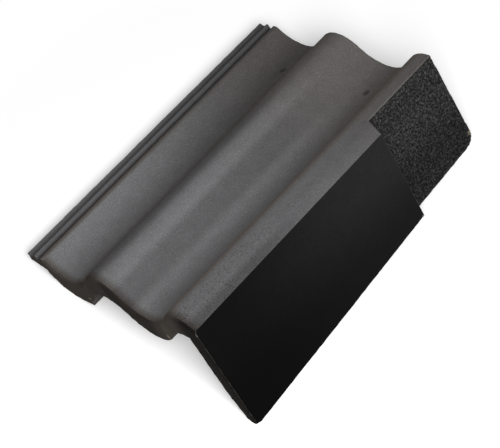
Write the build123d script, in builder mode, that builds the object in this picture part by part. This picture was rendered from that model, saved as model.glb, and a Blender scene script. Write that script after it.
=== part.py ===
"""Right-hand verge tile of a double-roll interlocking concrete roof tile.

The tile is modelled as it is moulded and laid: x runs across the roof from the side lock to the
verge, y runs up the slope from the tail to the head, and z = 0 is the top face along the pans.
At the end it is seated on the three points that it rests on when it is put down on a level floor.
"""

from build123d import *
import os
from math import asin, atan, cos, hypot, sin, sqrt, tan

os.makedirs("parts", exist_ok=True)

# Format of the tile
tile_length = 420.0
tile_width = 330.5
body_thickness = 13.0

# Wave of the top face: two rolls and two pans, drawn with tangent arcs
side_lap_width = 30.5
crest_offset = 3.0
roll_height = 36.0
roll_radius = 41.0

# Side lock, which lies under the roll of the neighbouring tile
lock_lip_top = 20.3
lock_lip_width = 2.6
lock_foot_z = 9.0
lock_heel_x = 18.0
lock_heel_z = 4.0
lock_underside_width = 40.0
lock_channel_floor = 17.6
lock_channel_width = 6.4
lock_rib_top = 21.5
lock_rib_width = 3.8
lock_wall_run = 2.4
lock_groove_floor = 13.0
lock_groove_width = 2.0
lock_groove_wall_run = 1.8
lock_shoulder_run = 6.0
lock_shoulder_rise = 0.855
lock_setback = 2.0

# Tail: a deep nose whose underside repeats the wave, to bed on the tile below
nose_depth = 27.0
nose_length = 24.0
nose_round = 5.0
nose_start_x = 47.0
nose_shoulder_x = 34.0
nose_shoulder_z = -1.0
bedding_pad_offset = 8.0
bedding_pad_width = 34.0
weather_bar_y = 64.0
weather_bar_width = 12.0
weather_bar_depth = 20.0

# Verge apron: the front part stands out over the set-back part of the tile below
apron_front_length = 306.0
apron_step = 20.5
apron_thickness = 15.0
apron_nose_thickness = 20.0
apron_head_thickness = 13.0
apron_nose_length = 24.0
apron_step_slant = 6.0
apron_web_start = 32.0
apron_web_end = 16.0
apron_head_slant = 4.5
apron_drop_tail = 128.2
apron_drop_step = 101.7
apron_drop_recess = 105.8
apron_drop_head = 98.7
apron_tail_corner_radius = 4.0
apron_head_corner_radius = 15.0
apron_edge_round = 2.5

# Bottom of the front apron, tapered inside and sloped to a drip edge
drip_edge_rise = 6.5
drip_foot_thickness = 13.0
drip_taper_height = 50.0

# Nail holes through the pans
nail_hole_diameter = 6.0
nail_hole_from_head = 46.0

# Hanging nibs under the head of the pans
nib_width = 34.0
nib_length = 20.0
nib_height = 17.0
nib_from_head = 6.0
nib_draft = 8.0

# Room round the solids that trim others, and how closely an edge is picked by its place
trim_margin = 25.0
edge_tolerance = 0.1

# Arcs of the wave, worked out from the pitch and the height. The tile covers two pitches.
roll_pitch = (tile_width - side_lap_width) / 2
half_pitch = roll_pitch / 2
arc_radii = (half_pitch**2 + roll_height**2) / (2 * roll_height)
pan_radius = arc_radii - roll_radius
flank_angle = asin(half_pitch / arc_radii)
first_crest_x = roll_pitch + crest_offset
second_crest_x = first_crest_x + roll_pitch
pan_centres_x = (first_crest_x - half_pitch, first_crest_x + half_pitch)
recess_face_x = tile_width - apron_step
recess_inner_x = recess_face_x - apron_head_thickness
recess_start_y = apron_front_length + apron_step_slant
mid_thickness = body_thickness / 2


def roll_point(crest_x, angle, depth=0.0, drop=0.0):
    """Point on a roll, at an angle from its crest, under the top face by a depth or a drop."""
    radius = roll_radius - depth
    centre_z = roll_height - roll_radius - drop
    return (crest_x + radius * sin(angle), centre_z + radius * cos(angle))


def pan_point(pan_x, angle, depth=0.0, drop=0.0):
    """Point on a pan, at an angle from its lowest line, under the top face by a depth or a drop."""
    radius = pan_radius + depth
    centre_z = pan_radius - drop
    return (pan_x + radius * sin(angle), centre_z - radius * cos(angle))


def roll_angle_at(x, crest_x, depth=0.0):
    """Angle on a roll at which its arc reaches x."""
    return asin((x - crest_x) / (roll_radius - depth))


def top_height(x):
    """Height of the top face at x, from the shoulder of the first pan to the verge."""
    for pan_x in pan_centres_x:
        if abs(x - pan_x) <= pan_radius * sin(flank_angle):
            return pan_radius - sqrt(pan_radius**2 - (x - pan_x) ** 2)
    crest_x = first_crest_x if x < second_crest_x - half_pitch else second_crest_x
    if abs(x - crest_x) > roll_radius:
        return lock_rib_top
    return roll_height - roll_radius + sqrt(roll_radius**2 - (x - crest_x) ** 2)


def wave(start_angle, end_x, depth=0.0, drop=0.0):
    """Draw the wave from an angle on the left flank of the first pan to end_x on the second roll."""
    left_pan, right_pan = pan_centres_x
    end_angle = roll_angle_at(end_x, second_crest_x, depth)
    for pan_x, first_angle, crest_x, last_angle in (
        (left_pan, start_angle, first_crest_x, flank_angle),
        (right_pan, -flank_angle, second_crest_x, end_angle),
    ):
        ThreePointArc(
            pan_point(pan_x, first_angle, depth, drop),
            pan_point(pan_x, 0, depth, drop),
            pan_point(pan_x, flank_angle, depth, drop),
        )
        ThreePointArc(
            roll_point(crest_x, -flank_angle, depth, drop),
            roll_point(crest_x, (last_angle - flank_angle) / 2, depth, drop),
            roll_point(crest_x, last_angle, depth, drop),
        )


def section_plane(y):
    """Plane across the tile at y, with x to the right and z up."""
    return Plane(origin=(0, y, 0), x_dir=(1, 0, 0), z_dir=(0, -1, 0))


# Outline of the side lock, from its outer foot to the shoulder of the first pan
shoulder_start = pan_point(pan_centres_x[0], -flank_angle)
channel_end_x = lock_lip_width + lock_wall_run + lock_channel_width
rib_start_x = channel_end_x + lock_wall_run
rib_end_x = rib_start_x + lock_rib_width
groove_start_x = rib_end_x + lock_groove_wall_run
groove_end_x = groove_start_x + lock_groove_width
lock_outline = [
    (0, lock_foot_z),
    (0, lock_lip_top),
    (lock_lip_width, lock_lip_top),
    (lock_lip_width + lock_wall_run, lock_channel_floor),
    (channel_end_x, lock_channel_floor),
    (rib_start_x, lock_rib_top),
    (rib_end_x, lock_rib_top),
    (groove_start_x, lock_groove_floor),
    (groove_end_x, lock_groove_floor),
    (groove_end_x + lock_shoulder_run, lock_rib_top),
    (shoulder_start[0] - lock_wall_run, shoulder_start[1] + lock_shoulder_rise),
    shoulder_start,
]

apron_below = apron_drop_tail + trim_margin
left_pan_x = pan_centres_x[0]
underside_pan_angle = asin((lock_underside_width - left_pan_x) / (pan_radius + body_thickness))
underside_start = pan_point(left_pan_x, underside_pan_angle, body_thickness)

# Solid under the whole top face, used to trim the apron
with BuildPart() as under_wave:
    with BuildSketch(section_plane(0)):
        with BuildLine():
            wave(-flank_angle, tile_width)
            Polyline(
                roll_point(second_crest_x, roll_angle_at(tile_width, second_crest_x)),
                (tile_width, -apron_below),
                (shoulder_start[0], -apron_below),
                shoulder_start,
            )
        make_face()
    extrude(amount=-(tile_length + apron_head_slant))

# Apron in plan: thick at the tail, then a plate, with a web back to the set-back part
apron_inner_x = tile_width - apron_thickness
apron_nose_inner_x = tile_width - apron_nose_thickness
apron_nose_run_out = apron_nose_thickness - apron_thickness
web_start_y = apron_front_length - apron_web_start
apron_end_y = tile_length + apron_head_slant
apron_plan = [
    (apron_nose_inner_x, 0),
    (tile_width, 0),
    (tile_width, apron_front_length),
    (recess_face_x, recess_start_y),
    (recess_face_x, apron_end_y),
    (recess_inner_x, apron_end_y),
    (recess_inner_x, apron_front_length - apron_web_end),
    (apron_inner_x, web_start_y),
    (apron_inner_x, apron_nose_length + apron_nose_run_out),
    (apron_nose_inner_x, apron_nose_length),
]
with BuildPart() as apron:
    with BuildSketch(Plane.XY.offset(-apron_below)):
        with BuildLine():
            Polyline(*apron_plan, close=True)
        make_face()
    extrude(amount=apron_below + roll_height)
    add(under_wave.part, mode=Mode.INTERSECT)

    # The drip taper runs along the sloping bottom edge, up to the web
    bottom_slope = atan((apron_drop_tail - apron_drop_step) / apron_front_length)
    drip_plane = Plane(
        origin=(0, 0, -apron_drop_tail),
        x_dir=(1, 0, 0),
        z_dir=(0, -cos(bottom_slope), -sin(bottom_slope)),
    )
    drip_inner_x = tile_width - drip_foot_thickness
    with BuildSketch(drip_plane):
        with BuildLine():
            Polyline(
                (apron_nose_inner_x, drip_taper_height),
                (drip_inner_x, drip_edge_rise),
                (tile_width, 0),
                (tile_width, -apron_below),
                (recess_inner_x, -apron_below),
                (recess_inner_x, drip_taper_height),
                close=True,
            )
        make_face()
    extrude(amount=-web_start_y / cos(bottom_slope), mode=Mode.SUBTRACT)


nose_start_angle = asin((nose_start_x - left_pan_x) / pan_radius)
tail_band_end_x = (apron_nose_inner_x + tile_width) / 2
tail_band_end = roll_point(second_crest_x, roll_angle_at(tail_band_end_x, second_crest_x))


def tail_band_outline(depth):
    """Draw a band whose underside repeats the wave at a depth under the top face."""
    wave(nose_start_angle, tail_band_end_x)
    Polyline(tail_band_end, (tail_band_end[0], tail_band_end[1] - depth))
    wave(nose_start_angle, tail_band_end_x, drop=depth)
    Polyline(
        pan_point(left_pan_x, nose_start_angle),
        pan_point(left_pan_x, nose_start_angle, drop=depth),
    )


with BuildPart() as nose:
    for band_y, band_length, band_depth in (
        (0, nose_length, nose_depth),
        (weather_bar_y, weather_bar_width, weather_bar_depth),
    ):
        with BuildSketch(section_plane(band_y)):
            with BuildLine():
                tail_band_outline(band_depth)
            make_face()
        extrude(amount=-band_length)

    # Under the first pan the nose ends in a flat pad and runs up to the foot of the lock
    bedding_pad_start = left_pan_x - bedding_pad_offset
    bedding_pad_end = bedding_pad_start + bedding_pad_width
    with BuildSketch(section_plane(0)):
        with BuildLine():
            Polyline(
                (lock_heel_x, lock_heel_z + mid_thickness),
                (lock_heel_x, lock_heel_z),
                (nose_shoulder_x, nose_shoulder_z),
                pan_point(left_pan_x, nose_start_angle, drop=nose_depth),
                (bedding_pad_start, -nose_depth),
                (bedding_pad_end, -nose_depth),
                (bedding_pad_end, -mid_thickness),
                (bedding_pad_start, -mid_thickness),
                close=True,
            )
        make_face()
    extrude(amount=-nose_length)

deck_end_x = tile_width - apron_thickness / 2
deck_top_end = roll_point(second_crest_x, roll_angle_at(deck_end_x, second_crest_x))
deck_underside_end = roll_point(
    second_crest_x, roll_angle_at(deck_end_x, second_crest_x, body_thickness), body_thickness
)
with BuildPart() as tile:
    # Deck and side lock have one section from tail to head
    with BuildSketch(section_plane(0)):
        with BuildLine():
            Polyline(*lock_outline)
            wave(-flank_angle, deck_end_x)
            Line(deck_top_end, deck_underside_end)
            wave(underside_pan_angle, deck_end_x, body_thickness)
            Polyline(underside_start, (lock_heel_x, lock_heel_z), (0, lock_foot_z))
        make_face()
    extrude(amount=-tile_length)
    add(nose.part)

    # Beside the set-back part of the apron the deck ends at its face
    with BuildSketch(Plane.XY.offset(-apron_below)):
        with BuildLine():
            Polyline(
                (recess_face_x, recess_start_y),
                (tile_width, apron_front_length),
                (tile_width, tile_length),
                (recess_face_x, tile_length),
                close=True,
            )
        make_face()
    extrude(amount=apron_below + roll_height, mode=Mode.SUBTRACT)
    add(apron.part)

    # The lock stops a little short of the tail
    with BuildSketch(Plane.XY.offset(-nose_depth)):
        Rectangle(shoulder_start[0] - lock_wall_run, lock_setback, align=(Align.MIN, Align.MIN))
    extrude(amount=nose_depth + roll_height, mode=Mode.SUBTRACT)

    # Side outline: the bottom of the apron rises to the head, lower on the set-back part
    with BuildSketch(Plane.YZ):
        with BuildLine():
            FilletPolyline(
                (0, roll_height),
                (0, -apron_drop_tail),
                (apron_front_length, -apron_drop_step),
                radius=apron_tail_corner_radius,
            )
            FilletPolyline(
                (recess_start_y, -apron_drop_recess),
                (apron_end_y, -apron_drop_head),
                (tile_length, roll_height),
                radius=apron_head_corner_radius,
            )
            Polyline(
                (apron_front_length, -apron_drop_step),
                (recess_start_y, -apron_drop_step),
                (recess_start_y, -apron_drop_recess),
            )
            Line((0, roll_height), (tile_length, roll_height))
        make_face()
    extrude(amount=tile_width, mode=Mode.INTERSECT)

    # Nail holes
    with Locations(
        *[Location((pan_x, tile_length - nail_hole_from_head, 0)) for pan_x in pan_centres_x]
    ):
        Hole(radius=nail_hole_diameter / 2)

    # Hanging nibs, square to the batten on the tail side and drafted on the head side
    nib_head_y = tile_length - nib_from_head
    for pan_x in pan_centres_x:
        with BuildSketch(Plane.YZ.offset(pan_x - nib_width / 2)):
            with BuildLine():
                Polyline(
                    (nib_head_y, -mid_thickness),
                    (nib_head_y, -body_thickness),
                    (nib_head_y - nib_draft, -body_thickness - nib_height),
                    (nib_head_y - nib_length, -body_thickness - nib_height),
                    (nib_head_y - nib_length, -mid_thickness),
                    close=True,
                )
            make_face()
        extrude(amount=nib_width)

    # The front edge of the top face is rounded, and so are the top edges of the apron
    nose_edges = [
        edge
        for edge in tile.edges().filter_by_position(Axis.Y, -edge_tolerance, edge_tolerance)
        if abs((edge @ 0.5).Z - top_height((edge @ 0.5).X)) < edge_tolerance
    ]
    fillet(nose_edges, radius=nose_round)
    step_edges = [
        edge
        for edge in tile.edges()
        if apron_front_length < (edge @ 0.5).Y < recess_start_y
        and abs((edge @ 0.5).Z - top_height((edge @ 0.5).X)) < edge_tolerance
    ]
    apron_edges = tile.edges().filter_by(Axis.Y).filter_by_position(
        Axis.Z, deck_top_end[1] - roll_height, roll_height
    )
    apron_edges = [
        edge
        for edge in apron_edges
        if min(abs(edge.center().X - tile_width), abs(edge.center().X - recess_face_x))
        < edge_tolerance
    ]
    fillet(apron_edges + step_edges, radius=apron_edge_round)

# The tile rests on the tail corner of the apron, the nose under the first pan and the left nib
apron_foot_rise = apron_tail_corner_radius * (tan(bottom_slope) + 1 / cos(bottom_slope) - 1)
apron_foot = Vector(tile_width, apron_tail_corner_radius, apron_foot_rise - apron_drop_tail)
nose_centre_z = pan_radius - nose_depth
foot_run = tile_width - left_pan_x
foot_drop = nose_centre_z - apron_foot.Z
floor_slope = atan(foot_drop / foot_run) - asin(pan_radius / hypot(foot_run, foot_drop))
nose_foot_x, nose_foot_z = pan_point(left_pan_x, -floor_slope, drop=nose_depth)
nose_foot = Vector(nose_foot_x, 0, nose_foot_z)
nib_foot = Vector(
    left_pan_x - nib_width / 2, nib_head_y - nib_length, -body_thickness - nib_height
)
up = (apron_foot - nose_foot).cross(nib_foot - nose_foot).normalized()
rest_plane = Plane(origin=nose_foot, x_dir=Vector(0, 1, 0).cross(up), z_dir=up)

# Seated on the floor, with the origin under the middle of its box
seated = rest_plane.to_local_coords(tile.part)
seated_box = seated.bounding_box()
seat = Location((-seated_box.center().X, -seated_box.center().Y, -seated_box.min.Z))
with BuildPart() as verge_tile:
    add(seated.moved(seat))

verge_tile.part.label = "verge_tile"
export_step(verge_tile.part, "parts/verge_tile.step")
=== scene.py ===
"""Looks of the verge tile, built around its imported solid.

The solid's own mesh is cut into a fine grid, given the relief of moulded concrete, and painted
zone by zone. The work is done in the tile's frame in millimetres: x runs across the tile from the
side lock to the verge, y from the tail to the head, and z = 0 is the top face along the pans.
"""

from math import atan2, cos, floor, hypot, sin, sqrt

import bmesh
import bpy
from mathutils import Euler, Matrix, Vector, noise


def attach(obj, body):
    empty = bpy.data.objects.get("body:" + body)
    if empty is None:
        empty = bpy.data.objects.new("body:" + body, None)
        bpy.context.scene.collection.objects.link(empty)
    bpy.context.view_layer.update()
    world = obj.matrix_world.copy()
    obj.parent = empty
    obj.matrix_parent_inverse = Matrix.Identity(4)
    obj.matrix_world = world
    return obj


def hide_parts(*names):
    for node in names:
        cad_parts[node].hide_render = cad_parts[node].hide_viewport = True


MILLIMETRE = 0.001

# The tile's frame in the row frame: its axes as columns, and its origin in metres
TILE_AXES = Matrix(
    (
        (0.933656, 0.0, -0.358171),
        (-0.004756, 0.999912, -0.012399),
        (0.358140, 0.013280, 0.933574),
    )
)
TILE_ORIGIN = Vector((-0.173483, -0.210883, 0.000928))

# Camera of the photograph, in the row frame
CAMERA_PLACE = (0.948136, -0.679927, 1.583711)
CAMERA_TURN = (0.611609, 0.168935, 0.726528)
CAMERA_LENS = 121.18

# Studio: a soft box to the right, a weaker surround and a pale floor
SOFTBOX_PLACE = (1.0, -0.5, 1.2)
SOFTBOX_SIZE = 0.7
SOFTBOX_POWER = 27.0
WORLD_LEVEL = 0.4
FLOOR_SIZE = 20.0
FLOOR_GREY = 0.25
FLOOR_WHITE = 0.9
FLOOR_GLOW = 0.2
FLOOR_FADE = (0.28, 0.42)

# Sizes of the tile that the zones and the relief follow, in millimetres
TILE_LENGTH = 420.0
TILE_WIDTH = 330.5
ROLL_HEIGHT = 36.0
ROLL_RADIUS = 41.0
HALF_PITCH = 75.0
PANS = (78.0, 228.0)
CRESTS = (153.0, 303.0)
PAN_RADIUS = (HALF_PITCH**2 + ROLL_HEIGHT**2) / (2 * ROLL_HEIGHT) - ROLL_RADIUS
PAN_REACH = PAN_RADIUS * HALF_PITCH / (PAN_RADIUS + ROLL_RADIUS)
LOCK_END = PANS[0] - PAN_REACH
STEP_START = 306.0
STEP_END = 312.0
RECESS_X = 310.0
NOSE_ROUND = 5.0
APRON_DROP_TAIL = 128.2
APRON_DROP_STEP = 101.7
APRON_DROP_RECESS = 105.8
APRON_DROP_HEAD = 98.7
NAIL_HOLES_Y = 374.0

# How zones are told apart: least share of a normal along an axis, and how close a place lies
FACES_SIDE = 0.9
FACES_HEAD = 0.8
FACES_TAIL = 0.35
FACES_UP = 0.3
LOCK_FACES_UP = 0.1
LOCK_FACES_SIDE = 0.5
LOCK_FLOOR = 10.0
NEAR_PLANE = 1.0
NEAR_TOP = 4.0

# Grid: the coarse cell in millimetres, and its finer parts across x, y and z in some zones
CELL = 10.0
ZONE_PARTS = {
    "top": (4, 4, 1),
    "tail": (4, 1, 4),
    "apron": (1, 3, 3),
    "rough": (1, 7, 7),
    "lock": (1, 3, 1),
}
WELD = 0.002
FLAT_ANGLE = 0.004
ON_PLANE = 0.1
EDGE_STRIP = 0.9
SHARP_ANGLE = 0.6

# Depth of the relief of each zone, in millimetres: broad and fine unevenness
RELIEF = {
    "under": (0.4, 0.2),
    "head": (0.3, 0.2),
    "step": (0.2, 0.2),
    "lock": (0.15, 0.2),
    "tail": (0.5, 0.3),
    "top": (0.15, 0.16),
    "apron": (0.1, 0.05),
    "rough": (0.4, 1.6),
}

# Lengths of the waves in the relief, in millimetres
BROAD_WAVE = 28.0
GRAIN_WAVES = (5.0, 2.6)
RIPPLE_WAVES = (4.6, 2.7)
PIT_WAVES = (3.2, 2.4)
PIT_SHIFT = 40.0
WEAR_WAVE = 6.0

# Limits of the relief: reach of the pull onto the true arcs, wear of edges, tilt of small faces
SNAP = 0.3
EDGE_WEAR = 0.35
HALVINGS = 6
TILT_LIMIT = 0.6

# Colours: the concrete's own grey, and the brown tint on faces turned to the left and the front
GREY = Vector((0.985, 0.98, 1.01))
BROWN = Vector((1.17, 1.0, 0.86))

# Plain levels of each zone, from the lit tail to the shaded head or down the apron
TOP_LEVEL = 0.115
APRON_LEVEL = 0.0022
APRON_GAIN = 0.0115
ROUGH_LEVEL = 0.034
ROUGH_LOSS = 0.012
TAIL_LEVEL = 0.033
LOCK_LEVEL = 0.08
PLAIN_LEVEL = 0.06
PLAIN_WARMTH = 0.4

# Small chips on the edges, where the concrete's beige core shows: place and radius
CORE = Vector((0.17, 0.145, 0.11))
CHIPS = (
    (Vector((104, 0, -15)), 2.5),
    (Vector((256, 0, -14)), 2.5),
    (Vector((RECESS_X, 423.5, -86)), 3.0),
    (Vector((TILE_WIDTH, STEP_START, -APRON_DROP_STEP)), 2.5),
)

# Surface of the concrete, with the sizes of its grains in millimetres
SPECULAR = 0.04
ROUGHNESS = 0.9
WEAR_LIGHT = 0.1
GRAIN_SIZE = 0.9
MOTTLE_SIZE = 14.0
LIGHT_GRAIN_SIZE = 1.2
WRINKLE_SIZE = 2.4
PINHOLE_SIZE = 1.6
BUMP_SIZES = (1.2, 3.0)
BUMP_DISTANCE = 0.0012
BUMP_STRENGTHS = (0.15, 1.0)


def smooth(value, start, end):
    """0 before start, 1 after end, and smoothly between them."""
    share = min(max((value - start) / (end - start), 0.0), 1.0)
    return share * share * (3 - 2 * share)


def top_face(x):
    """Height and slope of the smooth top face at x."""
    for pan in PANS:
        if abs(x - pan) <= PAN_REACH:
            reach = sqrt(PAN_RADIUS**2 - (x - pan) ** 2)
            return PAN_RADIUS - reach, (x - pan) / reach
    crest = CRESTS[0] if x < PANS[1] else CRESTS[1]
    reach = sqrt(max(ROLL_RADIUS**2 - (x - crest) ** 2, 1.0))
    return ROLL_HEIGHT - ROLL_RADIUS + reach, (crest - x) / reach


def zone_of(face):
    """Name of the zone that a face belongs to."""
    centre = face.calc_center_median()
    normal = face.normal
    if normal.x > FACES_SIDE and centre.x > TILE_WIDTH - NEAR_PLANE:
        return "apron"
    in_recess = abs(centre.x - RECESS_X) < NEAR_PLANE and centre.y > STEP_START
    if normal.x > FACES_SIDE and in_recess:
        return "rough"
    if normal.y < -FACES_TAIL and centre.y < NOSE_ROUND:
        return "tail"
    if centre.x < LOCK_END:
        is_wall = abs(normal.x) > LOCK_FACES_SIDE and centre.z > LOCK_FLOOR
        return "lock" if normal.z > LOCK_FACES_UP or is_wall else "under"
    if normal.z > FACES_UP and abs(centre.z - top_face(centre.x)[0]) < NEAR_TOP:
        return "top"
    if normal.y > FACES_HEAD:
        return "head" if centre.y > STEP_END + NEAR_PLANE else "step"
    return "under"


def axis_vector(axis):
    """Unit vector along an axis given by its number."""
    direction = Vector((0, 0, 0))
    direction[axis] = 1
    return direction


def cut(bm, geometry, point, normal):
    """Cut some geometry with a plane, and return it with what the cut added."""
    result = bmesh.ops.bisect_plane(
        bm, geom=geometry, dist=ON_PLANE, plane_co=point, plane_no=normal
    )
    return result["geom"]


def cut_all(bm, point, normal):
    """Cut the whole mesh with a plane."""
    cut(bm, bm.verts[:] + bm.edges[:] + bm.faces[:], point, normal)


def cut_cells(bm, lowest, highest):
    """Cut the whole mesh into coarse cells."""
    for axis in range(3):
        direction = axis_vector(axis)
        for cell in range(1, floor((highest[axis] - lowest[axis]) / CELL) + 1):
            cut_all(bm, direction * (lowest[axis] + cell * CELL), direction)


def cut_parts(bm, faces, parts, lowest):
    """Cut some faces, one coarse cell after another, into finer parts across each axis."""
    for axis, count in enumerate(parts):
        direction = axis_vector(axis)
        cells = {}
        for face in faces:
            cell = floor((face.calc_center_median()[axis] - lowest[axis]) / CELL)
            cells.setdefault(cell, []).append(face)
        faces = []
        for cell, cell_faces in cells.items():
            geometry = list(dict.fromkeys(v for f in cell_faces for v in f.verts))
            geometry += list(dict.fromkeys(e for f in cell_faces for e in f.edges))
            geometry += cell_faces
            for part in range(1, count):
                point = direction * (lowest[axis] + (cell + part / count) * CELL)
                geometry = cut(bm, geometry, point, direction)
            faces += [item for item in geometry if isinstance(item, bmesh.types.BMFace)]


def edge_planes():
    """Planes just inside the tile's long edges, so that wear stays close to them."""
    front_slope = atan2(APRON_DROP_TAIL - APRON_DROP_STEP, STEP_START)
    rear_slope = atan2(APRON_DROP_RECESS - APRON_DROP_HEAD, TILE_LENGTH - STEP_START)
    front_bottom = EDGE_STRIP - APRON_DROP_TAIL
    rear_bottom = EDGE_STRIP - APRON_DROP_RECESS
    return (
        ((0, EDGE_STRIP, 0), (0, 1, 0)),
        ((0, TILE_LENGTH - EDGE_STRIP, 0), (0, 1, 0)),
        ((0, STEP_START - EDGE_STRIP, 0), (0, 1, 0)),
        ((TILE_WIDTH - EDGE_STRIP, 0, 0), (1, 0, 0)),
        ((RECESS_X - EDGE_STRIP, 0, 0), (1, 0, 0)),
        ((0, 0, front_bottom), (0, -sin(front_slope), cos(front_slope))),
        ((0, STEP_START, rear_bottom), (0, -sin(rear_slope), cos(rear_slope))),
    )


def relief_depth(place, zone):
    """How far the relief lies under the smooth face, in millimetres."""
    broad, fine = RELIEF[zone]
    depth = broad * (0.5 + 0.5 * noise.noise(place / BROAD_WAVE))
    if zone != "rough":
        grain = noise.noise(place / GRAIN_WAVES[0]) + 0.6 * noise.noise(place / GRAIN_WAVES[1])
        return depth + fine * (0.5 + 0.5 * grain)
    x, y, z = place
    ripples = noise.noise(Vector((x, y / RIPPLE_WAVES[0], z / RIPPLE_WAVES[1])))
    pits = noise.noise(Vector((x, y / PIT_WAVES[0], z / PIT_WAVES[1] + PIT_SHIFT)))
    return depth + fine * (0.45 + 0.75 * ripples + 0.45 * smooth(pits, 0.05, 0.35))


def top_tone(x, y, slope):
    """Level with painted shade, warmth and pinholes of the top face."""
    # Painted shade: the top darker towards the head
    level = TOP_LEVEL * (1 - 0.3 * smooth(y, 120, 420))

    # Painted shade: the first pan darker towards the head, and the strip above the apron darker
    # than its roll
    level *= 1 - 0.3 * smooth(-x, -105, -70) * smooth(y, 60, 350)
    level *= 1 - 0.3 * smooth(x, 295, 315) * (1 + smooth(x, 316, 326) * smooth(-y, -220, -100))

    # Painted shade in two dark bands along the first roll: its left flank, and the foot of its
    # right one
    shade_bands = smooth(x, 78, 98) * smooth(-x, -163, -148)
    shade_bands += smooth(x, 174, 184) * smooth(-x, -210, -196)
    level *= 1 - 0.38 * shade_bands * (1 - 0.75 * smooth(y, 230, 400))

    # Painted shade, dark brown, over the rounded nose, and darker rings around the nail holes,
    # painted shade of their pits
    nose_shade = smooth(-y, -15, -2)
    level *= 1 - 0.62 * nose_shade
    warmth = 0.6 * smooth(slope, 0.05, 0.5) + 0.4 * smooth(y, 180, 420)
    hole_distance = min(hypot(x - pan, y - NAIL_HOLES_Y) for pan in PANS)
    level *= 1 - 0.3 * smooth(-hole_distance, -5.5, -3.5)

    pinholes = 0.1 + 0.6 * smooth(x, 285, 302) * smooth(-y, -220, -60)
    return level, min(warmth + 0.6 * nose_shade, 1.0), pinholes


def tail_level(x, height):
    """Level of the tail face, darkest at the apron; its darker parts where the top rises and
    below the first roll's right flank are painted shade.
    """
    level = TAIL_LEVEL * (1 - 0.2 * smooth(height, 12, 30)) * (1 + 0.5 * smooth(x, 245, 262))
    level *= 1 - 0.55 * smooth(x, 155, 170) * smooth(-x, -245, -225)
    return level * (1 - 0.88 * smooth(x, 285, 318))


def tone(zone, place):
    """Colour of the concrete at a place in a zone, painted light and shade included, and how many
    pinholes it has there.
    """
    for chip, radius in CHIPS:
        if (place - chip).length < radius:
            return (*CORE, 0.0)
    x, y, z = place
    height, slope = top_face(x)
    warmth = 0.1
    pinholes = 0.0
    if zone == "top":
        level, warmth, pinholes = top_tone(x, y, slope)
    elif zone == "apron":
        # Darker towards the tail, and painted shade darker down the apron
        level = APRON_LEVEL + APRON_GAIN * smooth(y, 20, 330)
        level *= 0.45 + 0.55 * smooth(z, -95, 0)
    elif zone == "rough":
        # Painted shade: darker down the recess
        level = ROUGH_LEVEL - ROUGH_LOSS * smooth(-z, 15, 70)
    elif zone == "tail":
        level = tail_level(x, height)
        warmth = 1.0
    elif zone == "lock":
        # Painted shade: darker towards the head, and half as light low in the grooves of the lock
        level = LOCK_LEVEL * (1 - 0.3 * smooth(y, 100, 420)) * (0.5 + 0.5 * smooth(z, 15, 20))
        warmth = 0.5 * smooth(x, 18, 26)
    else:
        level = PLAIN_LEVEL
        warmth = PLAIN_WARMTH
    return (*(level * GREY.lerp(BROWN, warmth)), pinholes)


def edge_wear(place, zones):
    """How worn a place is, where the apron or the rough recess meets another zone."""
    if len(zones) < 2 or zones == {"apron", "top"} or not zones & {"apron", "rough"}:
        return 0.0
    return max((1.1 if "rough" in zones else 0.6) + noise.noise(place / WEAR_WAVE), 0.0)


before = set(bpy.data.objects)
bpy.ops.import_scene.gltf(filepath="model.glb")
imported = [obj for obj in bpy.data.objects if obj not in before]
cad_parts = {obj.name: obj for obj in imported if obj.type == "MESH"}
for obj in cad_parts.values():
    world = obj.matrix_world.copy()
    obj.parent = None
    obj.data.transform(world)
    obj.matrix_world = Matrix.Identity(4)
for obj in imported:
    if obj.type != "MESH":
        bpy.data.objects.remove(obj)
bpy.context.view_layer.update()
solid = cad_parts["verge_tile"]

# Fine grid on the solid's own faces
to_row = Matrix.Translation(TILE_ORIGIN) @ TILE_AXES.to_4x4() @ Matrix.Scale(MILLIMETRE, 4)
bm = bmesh.new()
bm.from_mesh(solid.data)
bm.transform(to_row.inverted())
bmesh.ops.remove_doubles(bm, verts=bm.verts, dist=WELD)
bmesh.ops.dissolve_limit(bm, angle_limit=FLAT_ANGLE, verts=bm.verts, edges=bm.edges)
bm.normal_update()
lowest = [min(v.co[axis] for v in bm.verts) - CELL / 2 for axis in range(3)]
highest = [max(v.co[axis] for v in bm.verts) for axis in range(3)]
for point, normal in edge_planes():
    cut_all(bm, point, normal)
cut_cells(bm, lowest, highest)
for zone, parts in ZONE_PARTS.items():
    cut_parts(bm, [face for face in bm.faces if zone_of(face) == zone], parts, lowest)
bmesh.ops.triangulate(bm, faces=bm.faces)
bm.normal_update()
bm.verts.index_update()
bm.faces.index_update()
face_zones = [zone_of(face) for face in bm.faces]
vert_zones = [{face_zones[face.index] for face in vert.link_faces} for vert in bm.verts]

# The top face back on its true arcs, then the relief, always inwards
sharp = {v for e in bm.edges if e.calc_face_angle(0) > SHARP_ANGLE for v in e.verts}
smooth_places = [vert.co.copy() for vert in bm.verts]
smooth_normals = [face.normal.copy() for face in bm.faces]
targets = []
for vert, zones in zip(bm.verts, vert_zones):
    target = vert.co.copy()
    height = top_face(target.x)[0]
    if zones == {"top"} and abs(target.z - height) < SNAP:
        target.z = height
    depth = min(relief_depth(vert.co, zone) for zone in zones)
    if vert in sharp:
        shortest = min(edge.calc_length() for edge in vert.link_edges)
        depth += min(EDGE_WEAR * (0.6 + noise.noise(vert.co / WEAR_WAVE)), shortest / 3)
    targets.append(target - vert.normal * depth)
for vert, target in zip(bm.verts, targets):
    vert.co = target

# Relief halved wherever it would tilt a small face too far
for halving in range(HALVINGS):
    bm.normal_update()
    tilted = [f for f in bm.faces if f.normal.dot(smooth_normals[f.index]) < TILT_LIMIT]
    for vert in {vert for face in tilted for vert in face.verts}:
        vert.co = (vert.co + smooth_places[vert.index]) / 2

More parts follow.
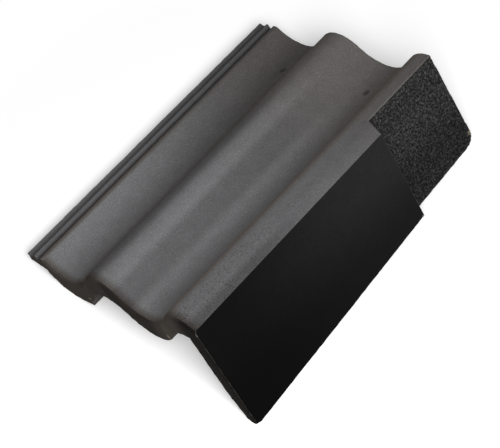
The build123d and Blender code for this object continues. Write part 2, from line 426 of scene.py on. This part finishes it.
# Attributes that the material reads
zone_tones = {}
tones = []
for face, zone in zip(bm.faces, face_zones):
    for vert in face.verts:
        key = (zone, vert.index)
        if key not in zone_tones:
            zone_tones[key] = tone(zone, smooth_places[vert.index])
        tones.append(zone_tones[key])
wear = [edge_wear(place, zones) for place, zones in zip(smooth_places, vert_zones)]
cavity = []
for place, target, zones in zip(smooth_places, targets, vert_zones):
    cavity.append((target - place).length if zones == {"rough"} else 0.0)

mesh = bpy.data.meshes.new("verge_tile_concrete")
bm.transform(to_row)
bm.to_mesh(mesh)
bm.free()
mesh.shade_smooth()
mesh.set_sharp_from_angle(angle=SHARP_ANGLE)
place_layer = mesh.attributes.new("tile_place", "FLOAT_VECTOR", "POINT")
place_layer.data.foreach_set("vector", [c for place in smooth_places for c in place])
wear_layer = mesh.attributes.new("wear", "FLOAT", "POINT")
wear_layer.data.foreach_set("value", wear)
cavity_layer = mesh.attributes.new("cavity", "FLOAT", "POINT")
cavity_layer.data.foreach_set("value", cavity)
tone_layer = mesh.color_attributes.new("tone", "FLOAT_COLOR", "CORNER")
tone_layer.data.foreach_set("color", [c for colour in tones for c in colour])
tile = bpy.data.objects.new("verge_tile_concrete", mesh)
bpy.context.scene.collection.objects.link(tile)


def new_node(tree, kind, **inputs):
    """Add a node and set the default values of its inputs."""
    node = tree.nodes.new(kind)
    for name, value in inputs.items():
        node.inputs[name].default_value = value
    return node


def attribute(tree, name, output):
    """Add a node that reads an attribute of the mesh, and return one of its outputs."""
    node = tree.nodes.new("ShaderNodeAttribute")
    node.attribute_name = name
    return node.outputs[output]


def maths(tree, operation, first, second):
    """Add a maths node on two sockets or numbers, and return its result."""
    node = tree.nodes.new("ShaderNodeMath")
    node.operation = operation
    for socket, value in zip(node.inputs, (first, second)):
        if isinstance(value, bpy.types.NodeSocket):
            tree.links.new(value, socket)
        else:
            socket.default_value = value
    return node.outputs[0]


def noise_at(tree, place, size, detail):
    """Add a noise texture at a place, with its features size millimetres across."""
    node = new_node(tree, "ShaderNodeTexNoise", Scale=1 / size, Detail=detail)
    tree.links.new(place, node.inputs["Vector"])
    return node.outputs[0]


def ramp(tree, value, low, high, to_low, to_high):
    """Map a value from one range to another, and return the result."""
    node = tree.nodes.new("ShaderNodeMapRange")
    for socket, number in zip(node.inputs[1:5], (low, high, to_low, to_high)):
        socket.default_value = number
    tree.links.new(value, node.inputs[0])
    return node.outputs[0]


concrete = bpy.data.materials.new("concrete")
concrete.use_nodes = True
tree = concrete.node_tree
shader = tree.nodes["Principled BSDF"]
shader.inputs["Specular IOR Level"].default_value = SPECULAR
shader.inputs["Roughness"].default_value = ROUGHNESS
place = attribute(tree, "tile_place", "Vector")
tone_colour = attribute(tree, "tone", "Color")
wear_share = attribute(tree, "wear", "Fac")
cavity_depth = attribute(tree, "cavity", "Fac")
pinhole_share = attribute(tree, "tone", "Alpha")

# Grain of the sand, soft mottling and a few light grains, over the whole tile
grain = ramp(tree, noise_at(tree, place, GRAIN_SIZE, 2), 0.25, 0.75, 0.65, 1.35)
mottle = ramp(tree, noise_at(tree, place, MOTTLE_SIZE, 3), 0.3, 0.7, 0.95, 1.05)
light_grains = ramp(tree, noise_at(tree, place, LIGHT_GRAIN_SIZE, 0), 0.7, 0.8, 1.0, 1.5)

# Painted shade in the hollows, and painted light and shade of the wrinkles, in the rough recess
# only
is_rough = ramp(tree, cavity_depth, 0.0, 0.2, 0.0, 1.0)
hollow_shade = ramp(tree, cavity_depth, 0.5, 1.7, 1.25, 0.6)
wrinkle_shading = ramp(tree, noise_at(tree, place, WRINKLE_SIZE, 3), 0.42, 0.62, -0.6, 0.6)
wrinkle_shading = maths(tree, "ADD", 1.0, maths(tree, "MULTIPLY", wrinkle_shading, is_rough))

# Dark pinholes where the tone asks for them
pinholes = ramp(tree, noise_at(tree, place, PINHOLE_SIZE, 0), 0.66, 0.73, 0.0, 0.7)
pinholes = maths(tree, "SUBTRACT", 1.0, maths(tree, "MULTIPLY", pinholes, pinhole_share))

# Paint: the tone times all of these, and lighter along worn edges
level = maths(tree, "MULTIPLY", grain, mottle)
for factor in (light_grains, hollow_shade, wrinkle_shading, pinholes):
    level = maths(tree, "MULTIPLY", level, factor)
paint = tree.nodes.new("ShaderNodeVectorMath")
paint.operation = "SCALE"
tree.links.new(tone_colour, paint.inputs[0])
tree.links.new(level, paint.inputs["Scale"])
worn_paint = tree.nodes.new("ShaderNodeVectorMath")
tree.links.new(paint.outputs[0], worn_paint.inputs[0])
tree.links.new(ramp(tree, wear_share, 0.1, 1.0, 0.0, WEAR_LIGHT), worn_paint.inputs[1])
tree.links.new(worn_paint.outputs[0], shader.inputs["Base Color"])

# Sand too fine for the mesh
fine_sand = noise_at(tree, place, BUMP_SIZES[0], 2)
coarse_sand = noise_at(tree, place, BUMP_SIZES[1], 1)
bump = new_node(tree, "ShaderNodeBump", Distance=BUMP_DISTANCE)
tree.links.new(maths(tree, "ADD", fine_sand, coarse_sand), bump.inputs["Height"])
tree.links.new(ramp(tree, is_rough, 0.0, 1.0, *BUMP_STRENGTHS), bump.inputs["Strength"])
tree.links.new(bump.outputs[0], shader.inputs["Normal"])
mesh.materials.append(concrete)

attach(tile, "root")
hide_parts("verge_tile")


def seen_directly(tree):
    """Socket that is 1 for camera, glossy and transmission rays, which show the background."""
    path = tree.nodes.new("ShaderNodeLightPath")
    seen = maths(tree, "MAXIMUM", path.outputs["Is Camera Ray"], path.outputs["Is Glossy Ray"])
    return maths(tree, "MAXIMUM", seen, path.outputs["Is Transmission Ray"])


def mixed(tree, share, first, second):
    """Shader that goes from the first to the second as the share goes from 0 to 1."""
    mix = tree.nodes.new("ShaderNodeMixShader")
    for source, socket in zip((share, first.outputs[0], second.outputs[0]), mix.inputs):
        tree.links.new(source, socket)
    return mix


# Pale floor: seen white, with the tile's shadow on it near the tile
floor_mesh = bpy.data.meshes.new("floor")
corners = [(-1, -1), (1, -1), (1, 1), (-1, 1)]
floor_mesh.from_pydata([(x * FLOOR_SIZE, y * FLOOR_SIZE, 0) for x, y in corners], [], [range(4)])
floor = bpy.data.objects.new("floor", floor_mesh)
bpy.context.scene.collection.objects.link(floor)
floor_paint = bpy.data.materials.new("floor")
floor_paint.use_nodes = True
tree = floor_paint.node_tree
tree.nodes.clear()
white = new_node(tree, "ShaderNodeBsdfDiffuse", Color=(FLOOR_WHITE, FLOOR_WHITE, FLOOR_WHITE, 1))
glow = new_node(tree, "ShaderNodeEmission", Strength=FLOOR_GLOW)
near = new_node(tree, "ShaderNodeAddShader")
tree.links.new(white.outputs[0], near.inputs[0])
tree.links.new(glow.outputs[0], near.inputs[1])
far = new_node(tree, "ShaderNodeEmission", Strength=1.0)
distance = tree.nodes.new("ShaderNodeVectorMath")
distance.operation = "LENGTH"
tree.links.new(tree.nodes.new("ShaderNodeNewGeometry").outputs["Position"], distance.inputs[0])
shown = mixed(tree, ramp(tree, distance.outputs["Value"], *FLOOR_FADE, 0, 1), near, far)
grey = new_node(tree, "ShaderNodeBsdfDiffuse", Color=(FLOOR_GREY, FLOOR_GREY, FLOOR_GREY, 1))
choice = mixed(tree, seen_directly(tree), grey, shown)
surface = tree.nodes.new("ShaderNodeOutputMaterial")
tree.links.new(choice.outputs[0], surface.inputs["Surface"])
floor_mesh.materials.append(floor_paint)

world = bpy.data.worlds.new("studio")
bpy.context.scene.world = world
world.use_nodes = True
background = world.node_tree.nodes["Background"]
background.inputs["Color"].default_value = (1, 1, 1, 1)
strength = ramp(world.node_tree, seen_directly(world.node_tree), 0, 1, WORLD_LEVEL, 1)
world.node_tree.links.new(strength, background.inputs["Strength"])

softbox_light = bpy.data.lights.new("softbox", "AREA")
softbox_light.shape = "SQUARE"
softbox_light.size = SOFTBOX_SIZE
softbox_light.energy = SOFTBOX_POWER
softbox = bpy.data.objects.new("softbox", softbox_light)
softbox.location = SOFTBOX_PLACE
softbox.rotation_euler = Vector(SOFTBOX_PLACE).to_track_quat("Z", "Y").to_euler()
bpy.context.scene.collection.objects.link(softbox)

camera_data = bpy.data.cameras.new("camera")
camera_data.lens = CAMERA_LENS
camera = bpy.data.objects.new("camera", camera_data)
camera.location = CAMERA_PLACE
camera.rotation_euler = Euler(CAMERA_TURN)
bpy.context.scene.collection.objects.link(camera)
bpy.context.scene.camera = camera
bpy.context.scene.view_settings.view_transform = "Standard"
